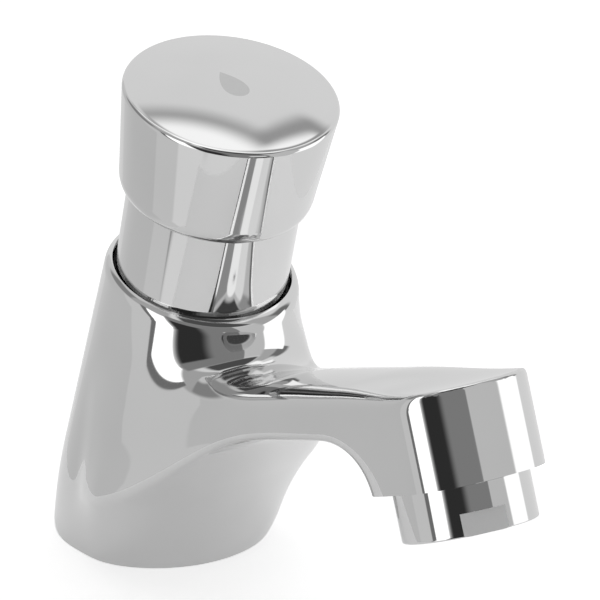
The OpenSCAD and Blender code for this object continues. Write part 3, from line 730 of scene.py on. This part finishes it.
def make_floor():
    """Pale deck under the foot. The camera sees it white with a soft shadow. Mirrors see the small plinth
    round the tap, which glows with painted light, brighter to one side, and past its edges the studio."""
    half = 3000
    corners = ((-half, -half), (half, -half), (half, half), (-half, half))
    floor = mesh_object("floor", [Vector((x, y, 0)) * MM for x, y in corners], [(0, 1, 2, 3)])
    material = bpy.data.materials.new("white deck")
    material.use_nodes = True
    tree = material.node_tree
    tree.nodes.clear()
    rays = add(tree, "ShaderNodeLightPath").outputs
    place = add(tree, "ShaderNodeTexCoord").outputs["Object"]
    parts = add(tree, "ShaderNodeSeparateXYZ", {0: place}).outputs
    # the plinth's edges face the camera: ahead runs towards it, aside to its right
    sine, cosine = math.sin(PLINTH_TURN), math.cos(PLINTH_TURN)
    ahead = calc(tree, "MULTIPLY_ADD", parts["X"], sine, calc(tree, "MULTIPLY", parts["Y"], -cosine))
    aside = calc(tree, "MULTIPLY_ADD", parts["X"], cosine, calc(tree, "MULTIPLY", parts["Y"], sine))
    from_middle = calc(tree, "ABSOLUTE", calc(tree, "SUBTRACT", ahead, PLINTH_AHEAD * MM))
    beyond = calc(tree, "GREATER_THAN", from_middle, PLINTH_LENGTH * MM)
    from_middle = calc(tree, "ABSOLUTE", calc(tree, "SUBTRACT", aside, PLINTH_ASIDE * MM))
    beside = calc(tree, "GREATER_THAN", from_middle, PLINTH_WIDTH * MM)
    past_plinth = calc(tree, "MULTIPLY", rays["Is Glossy Ray"], calc(tree, "MAXIMUM", beyond, beside))
    matt = add(tree, "ShaderNodeBsdfDiffuse", {"Color": colour("#e6e6e6")}).outputs[0]
    # painted light: for mirrors the plinth glows, from 0.25 on the camera's left to 0.40 on its right
    painted_plinth_light = span(tree, aside, 0.25, 0.40, -100 * MM, 100 * MM)
    direct = calc(tree, "MULTIPLY", rays["Is Camera Ray"], 0.6)
    lift = calc(tree, "MULTIPLY_ADD", rays["Is Glossy Ray"], painted_plinth_light, direct)
    glow = add(tree, "ShaderNodeEmission", {"Color": (1, 1, 1, 1), "Strength": lift}).outputs[0]
    seen = add(tree, "ShaderNodeAddShader", {0: matt, 1: glow}).outputs[0]
    clear = add(tree, "ShaderNodeBsdfTransparent").outputs[0]
    surface = add(tree, "ShaderNodeMixShader", {0: past_plinth, 1: seen, 2: clear}).outputs[0]
    add(tree, "ShaderNodeOutputMaterial", {"Surface": surface})
    floor.data.materials.append(material)


def make_camera():
    """Camera at the photograph's angle, fitted to it for a square picture 600 pixels wide."""
    azimuth, elevation, roll = (math.radians(v) for v in (-32.99984, 21.28651, -0.0237))
    distance, focal, shift_x, shift_z = 964.4, 4663.263, 29.1285, 45.8768
    level = math.cos(elevation)
    back = Vector((math.sin(azimuth) * level, -math.cos(azimuth) * level, math.sin(elevation)))
    right = Vector((math.cos(azimuth), math.sin(azimuth), 0))
    up = back.cross(right)
    right, up = (right * math.cos(roll) + up * math.sin(roll), up * math.cos(roll) - right * math.sin(roll))
    camera = bpy.data.objects.new("camera", bpy.data.cameras.new("camera"))
    bpy.context.scene.collection.objects.link(camera)
    spot = (right * shift_x + up * shift_z + back * distance) * MM
    rows = [(right[i], up[i], back[i], spot[i]) for i in range(3)]
    camera.matrix_world = Matrix((*rows, (0, 0, 0, 1)))
    camera.data.sensor_width = 36
    camera.data.lens = focal / 600 * 36
    camera.data.clip_start, camera.data.clip_end = 0.01, 20
    bpy.context.scene.camera = camera


CHROME = polished_chrome("polished chrome plate")
MARKED_CHROME = polished_chrome("polished chrome plate with an etched drop", marked=True)
BRASS = turned_metal("turned brass", "#cfa95f", "#a98444", 0.0, 0.2, 0.36)
LEANING_BRASS = turned_metal("turned brass on the head axis", "#cfa95f", "#a98444", HEAD_TILT, 0.2, 0.36)
STEEL = turned_metal("turned stainless steel", "#c9c9c8", "#aaabac", HEAD_TILT, 0.16, 0.3)
FINISHES = {
    "chrome": CHROME,
    "brass": LEANING_BRASS,
    "stainless": STEEL,
    # nitrile rubber from a mould: dull near black, with a dusty bloom
    "black_rubber": moulded("moulded nitrile rubber", "#1a1a1b", "#29292a", 3, 0.2, 0.01, 0.5, 0.7),
    # vulcanised fibre, punched from sheet: red brown, with long mottled fibres
    "red_fibre": moulded("vulcanised fibre", "#8a3226", "#6b261d", 1.2, 0.12, 0.02, 0.55, 0.75, (0.2, 1, 1)),
    # natural acetal from a mould: warm white with a soft gloss
    "white_acetal": moulded("moulded acetal", "#efede6", "#e4e1d8", 6, 0.3, 0.004, 0.28, 0.4),
    # glass filled nylon from a mould: charcoal, with a fine spark-eroded grain
    "dark_plastic": moulded("glass filled nylon", "#28282b", "#1f1f21", 4, 0.25, 0.015, 0.4, 0.55),
}
TURNING = turning_tree()
for entry in frame["record"]["subparts"]:
    node = frame["nodes"][entry["node"]]
    node.data.materials.clear()
    node.data.materials.append(FINISHES[entry["material_slot"]])

casting = make_casting()
casting.data.materials.clear()
casting.data.materials.append(CHROME)
casting.data.materials.append(LEANING_BRASS)
tail = turn_piece("threaded_tail", tail_profile(), BRASS, Matrix(), segments=128, pitch=1.814, depth=1.162,
                  threads=[(-23.9, 4.6, 10), (-47.2, -26.1, 10)])
button = turn_piece("button", button_profile(), MARKED_CHROME, HEAD, segments=256)
washer = turn_piece("round_washer", washer_profile(), STEEL, Matrix())
spring = make_spring()
for piece, node, body, slot in ((casting, "body_casting", "tap_body", "chrome"),
                                (button, "push_button", "plunger", "chrome"),
                                (make_housing(), "outlet_housing", "tap_body", "chrome"),
                                (tail, "inlet_tail", "tap_body", "brass"),
                                (make_backnut(), "backnut", "tap_body", "brass"),
                                (washer, "fixing_washer", "tap_body", "stainless"),
                                (spring, "return_spring", "tap_body", "stainless")):
    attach(piece, body)
    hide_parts(node)
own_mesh(spring)

make_world()
make_floor()
make_camera()
bpy.context.scene.view_settings.view_transform = "Standard"
